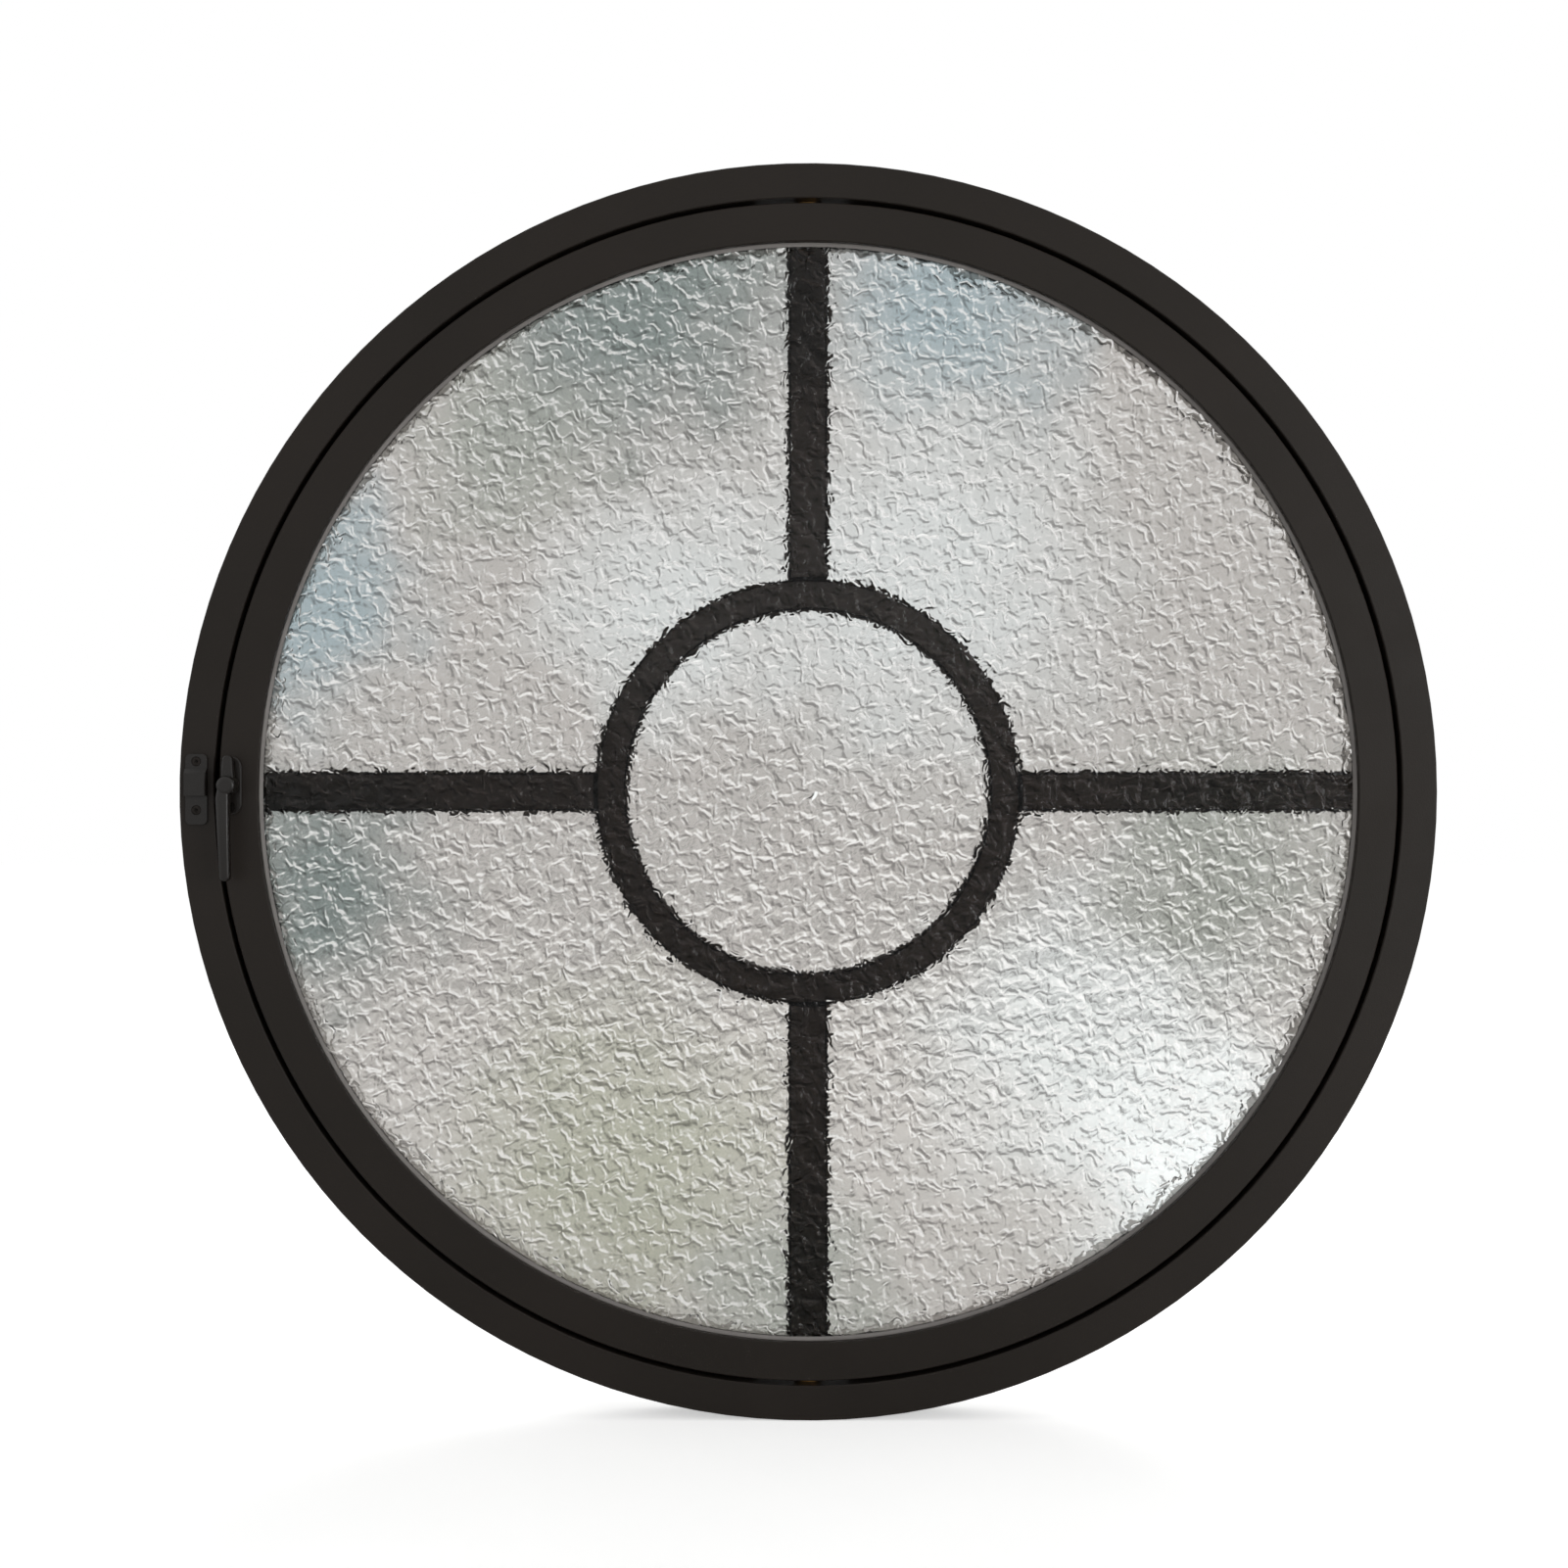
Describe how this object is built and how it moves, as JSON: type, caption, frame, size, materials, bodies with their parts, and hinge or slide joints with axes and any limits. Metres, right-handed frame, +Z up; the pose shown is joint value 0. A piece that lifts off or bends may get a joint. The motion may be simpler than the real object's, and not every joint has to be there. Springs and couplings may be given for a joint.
{
  "type": "round pivot window",
  "caption": "Round aluminium window: a fixed ring frame and a sash that pivots about an upright axis, with an obscure-glass sealed unit, a cross-and-ring grille and a lever handle.",
  "frame": {"origin": "centre of the round frame at the middle of its depth, on the pivot axis", "axes": "+Z up along the pivot axis, -Y towards the room (the side with the handle), +X to the right seen from the room"},
  "size_m": [0.9999, 0.0773, 1],
  "materials": {
    "ring_paint": "satin",
    "bar_paint": "satin",
    "grille_paint": "satin",
    "rubber_seal": "matt",
    "textured_glass": "wrinkled",
    "clear_glass": "clear",
    "spacer_metal": "satin",
    "sealant": "matt",
    "nylon": "matt",
    "steel": "zinc plated",
    "bronze": "turned",
    "screw_dark": "blackened",
    "handle_paint": "satin"
  },
  "bodies": {
    "frame": {"frame_ring": "ring_paint", "frame_weather_bar": "bar_paint", "frame_weather_seal": "rubber_seal", "frame_bar_screws": "screw_dark", "frame_block_screws": "steel", "frame_block_top": "steel", "frame_block_bottom": "steel", "pivot_pin_top": "steel", "pivot_pin_bottom": "steel", "thrust_washer_top": "bronze", "thrust_washer_bottom": "bronze", "keeper": "handle_paint", "keeper_screws": "screw_dark"},
    "sash": {"sash_ring": "ring_paint", "sash_weather_bar": "bar_paint", "sash_weather_seal": "rubber_seal", "sash_bar_screws": "screw_dark", "sash_block_screws": "steel", "sash_block_top": "steel", "sash_block_bottom": "steel", "pivot_bush_top": "bronze", "pivot_bush_bottom": "bronze", "glazing_bead": "bar_paint", "bead_screws": "screw_dark", "gasket_inside": "rubber_seal", "gasket_outside": "rubber_seal", "textured_pane": "textured_glass", "clear_pane": "clear_glass", "spacer": "spacer_metal", "edge_sealant": "sealant", "setting_blocks": "nylon", "grille_ring": "grille_paint", "grille_bar_top": "grille_paint", "grille_bar_right": "grille_paint", "grille_bar_bottom": "grille_paint", "grille_bar_left": "grille_paint", "grille_keys": "nylon", "grille_clips": "nylon", "handle_base": "handle_paint", "handle_base_screws": "screw_dark", "handle_washer": "nylon"},
    "handle": {"handle_lever": "handle_paint", "handle_spindle": "steel", "handle_clip": "steel"}
  },
  "joints": [
    {"name": "sash_pivot", "type": "hinge", "parent": "frame", "child": "sash", "pos_m": [0, 0, -0.47], "axis": [0, 0, 1], "range_deg": [-90, 0]},
    {"name": "handle_turn", "type": "hinge", "parent": "sash", "child": "handle", "pos_m": [-0.4585, -0.032, 0.005], "axis": [0, 1, 0], "range_deg": [-90, 0]}
  ]
}
